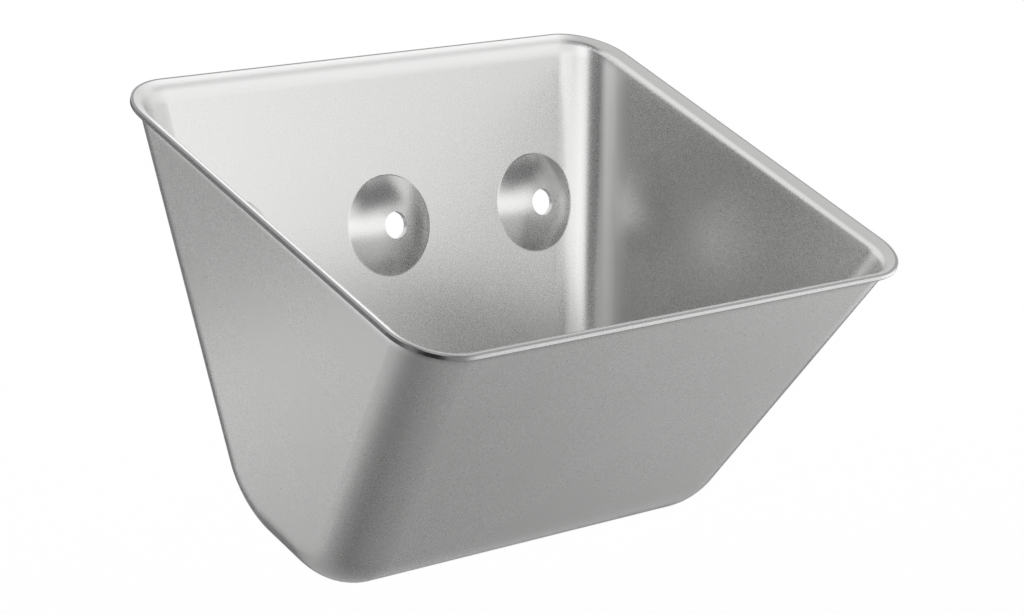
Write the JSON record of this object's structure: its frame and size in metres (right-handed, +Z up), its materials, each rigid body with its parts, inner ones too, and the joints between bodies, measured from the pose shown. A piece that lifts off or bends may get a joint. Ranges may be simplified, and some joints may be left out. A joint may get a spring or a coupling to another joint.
{
  "type": "elevator bucket",
  "caption": "Seamless deep-drawn steel bucket with a sloping mouth, a narrow rolled-out lip, and bolt holes in domed seats along its flat back.",
  "frame": {"origin": "where the axis of the middle bolt hole meets the belt face of the back wall", "axes": "+X along the bucket's length, +Y out of the flat back into the belt, +Z up along the back wall in the belt's running direction"},
  "size_m": [0.2, 0.147, 0.1608],
  "materials": {
    "steel": "satin, as pressed"
  },
  "bodies": {
    "root": {"bucket": "steel"}
  },
  "joints": []
}
